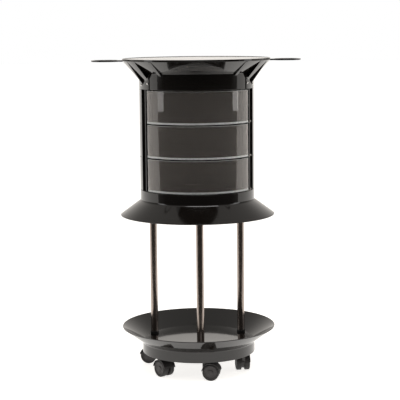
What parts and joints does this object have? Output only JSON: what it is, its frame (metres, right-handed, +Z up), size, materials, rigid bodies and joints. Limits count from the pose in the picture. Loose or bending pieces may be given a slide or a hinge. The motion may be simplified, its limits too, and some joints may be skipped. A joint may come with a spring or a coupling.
{
  "type": "hairdressing trolley",
  "caption": "Round black salon trolley on casters: a dish, chrome columns and a drum of swing-out clear trays under a round top with dryer rings.",
  "frame": {"origin": "on the floor, under the axis of the drum", "axes": "+Z up, the drum's open front faces -Y, +X is the side of the tray hinge"},
  "size_m": [0.62, 0.46, 0.936],
  "materials": {
    "black_abs": "polished",
    "column_chrome": "mirror",
    "zinc_steel": "zinc plated",
    "clear_acrylic": "clear polished",
    "white_nylon": "moulded",
    "painted_board": "black laminate",
    "collar_rubber": "matte",
    "caster_nylon": "moulded"
  },
  "bodies": {
    "frame": {"base_dish": "black_abs", "skirt": "black_abs", "top_funnel": "black_abs", "top_tray": "black_abs", "tower_floor": "black_abs", "shell_lower": "black_abs", "shell_middle": "black_abs", "shell_upper": "black_abs", "dryer_holder_left": "black_abs", "dryer_holder_right": "black_abs", "latch_post": "black_abs", "post_blocks": "black_abs", "column_front": "column_chrome", "column_left": "column_chrome", "column_right": "column_chrome", "neck_screws": "column_chrome", "holder_screws": "column_chrome", "column_plugs": "zinc_steel", "column_bolts_lower": "zinc_steel", "column_bolts_upper": "zinc_steel", "pivot_rod": "zinc_steel", "latch_rod": "zinc_steel", "back_rod": "zinc_steel", "rod_nuts": "zinc_steel", "top_tray_screws": "zinc_steel", "pivot_washers": "white_nylon", "base_plate": "painted_board", "column_collars": "collar_rubber", "caster_sockets": "zinc_steel"},
    "tray_lower_swing": {"tray_lower": "clear_acrylic", "hinge_sleeve_lower": "black_abs"},
    "tray_middle_swing": {"tray_middle": "clear_acrylic", "hinge_sleeve_middle": "black_abs"},
    "tray_upper_swing": {"tray_upper": "clear_acrylic", "hinge_sleeve_upper": "black_abs"},
    "caster_1_swivel": {"caster_1_stem": "zinc_steel", "caster_1_hood": "caster_nylon", "caster_1_axle": "zinc_steel"},
    "caster_1_roll": {"caster_1_wheels": "caster_nylon"},
    "caster_2_swivel": {"caster_2_stem": "zinc_steel", "caster_2_hood": "caster_nylon", "caster_2_axle": "zinc_steel"},
    "caster_2_roll": {"caster_2_wheels": "caster_nylon"},
    "caster_3_swivel": {"caster_3_stem": "zinc_steel", "caster_3_hood": "caster_nylon", "caster_3_axle": "zinc_steel"},
    "caster_3_roll": {"caster_3_wheels": "caster_nylon"},
    "caster_4_swivel": {"caster_4_stem": "zinc_steel", "caster_4_hood": "caster_nylon", "caster_4_axle": "zinc_steel"},
    "caster_4_roll": {"caster_4_wheels": "caster_nylon"},
    "caster_5_swivel": {"caster_5_stem": "zinc_steel", "caster_5_hood": "caster_nylon", "caster_5_axle": "zinc_steel"},
    "caster_5_roll": {"caster_5_wheels": "caster_nylon"},
    "caster_6_swivel": {"caster_6_stem": "zinc_steel", "caster_6_hood": "caster_nylon", "caster_6_axle": "zinc_steel"},
    "caster_6_roll": {"caster_6_wheels": "caster_nylon"}
  },
  "joints": [
    {"name": "tray_lower_hinge", "type": "hinge", "parent": "frame", "child": "tray_lower_swing", "pos_m": [0.14557, -0.05881, 0.5995], "axis": [0, 0, 1], "range_deg": [0, 95]},
    {"name": "tray_middle_hinge", "type": "hinge", "parent": "frame", "child": "tray_middle_swing", "pos_m": [0.14557, -0.05881, 0.699], "axis": [0, 0, 1], "range_deg": [0, 95]},
    {"name": "tray_upper_hinge", "type": "hinge", "parent": "frame", "child": "tray_upper_swing", "pos_m": [0.14557, -0.05881, 0.7985], "axis": [0, 0, 1], "range_deg": [0, 95]},
    {"name": "caster_1_swivel_joint", "type": "hinge", "parent": "frame", "child": "caster_1_swivel", "pos_m": [0.01138, -0.14455, 0.07], "axis": [0, 0, 1], "continuous": true},
    {"name": "caster_1_wheel_joint", "type": "hinge", "parent": "caster_1_swivel", "child": "caster_1_roll", "pos_m": [0.03094, -0.14871, 0.0245], "axis": [0.2079, 0.9781, 0], "continuous": true},
    {"name": "caster_2_swivel_joint", "type": "hinge", "parent": "frame", "child": "caster_2_swivel", "pos_m": [0.13087, -0.06242, 0.07], "axis": [0, 0, 1], "continuous": true},
    {"name": "caster_2_wheel_joint", "type": "hinge", "parent": "caster_2_swivel", "child": "caster_2_roll", "pos_m": [0.12948, -0.04247, 0.0245], "axis": [-0.9976, -0.0698, 0], "continuous": true},
    {"name": "caster_3_swivel_joint", "type": "hinge", "parent": "frame", "child": "caster_3_swivel", "pos_m": [0.1195, 0.08213, 0.07], "axis": [0, 0, 1], "continuous": true},
    {"name": "caster_3_wheel_joint", "type": "hinge", "parent": "caster_3_swivel", "child": "caster_3_roll", "pos_m": [0.1295, 0.09945, 0.0245], "axis": [-0.866, 0.5, 0], "continuous": true},
    {"name": "caster_4_swivel_joint", "type": "hinge", "parent": "frame", "child": "caster_4_swivel", "pos_m": [-0.01138, 0.14455, 0.07], "axis": [0, 0, 1], "continuous": true},
    {"name": "caster_4_wheel_joint", "type": "hinge", "parent": "caster_4_swivel", "child": "caster_4_roll", "pos_m": [-0.01983, 0.16268, 0.0245], "axis": [-0.9063, -0.4226, 0], "continuous": true},
    {"name": "caster_5_swivel_joint", "type": "hinge", "parent": "frame", "child": "caster_5_swivel", "pos_m": [-0.13087, 0.06242, 0.07], "axis": [0, 0, 1], "continuous": true},
    {"name": "caster_5_wheel_joint", "type": "hinge", "parent": "caster_5_swivel", "child": "caster_5_roll", "pos_m": [-0.15044, 0.06658, 0.0245], "axis": [-0.2079, -0.9781, 0], "continuous": true},
    {"name": "caster_6_swivel_joint", "type": "hinge", "parent": "frame", "child": "caster_6_swivel", "pos_m": [-0.1195, -0.08213, 0.07], "axis": [0, 0, 1], "continuous": true},
    {"name": "caster_6_wheel_joint", "type": "hinge", "parent": "caster_6_swivel", "child": "caster_6_roll", "pos_m": [-0.10719, -0.09789, 0.0245], "axis": [0.788, 0.6157, 0], "continuous": true}
  ]
}
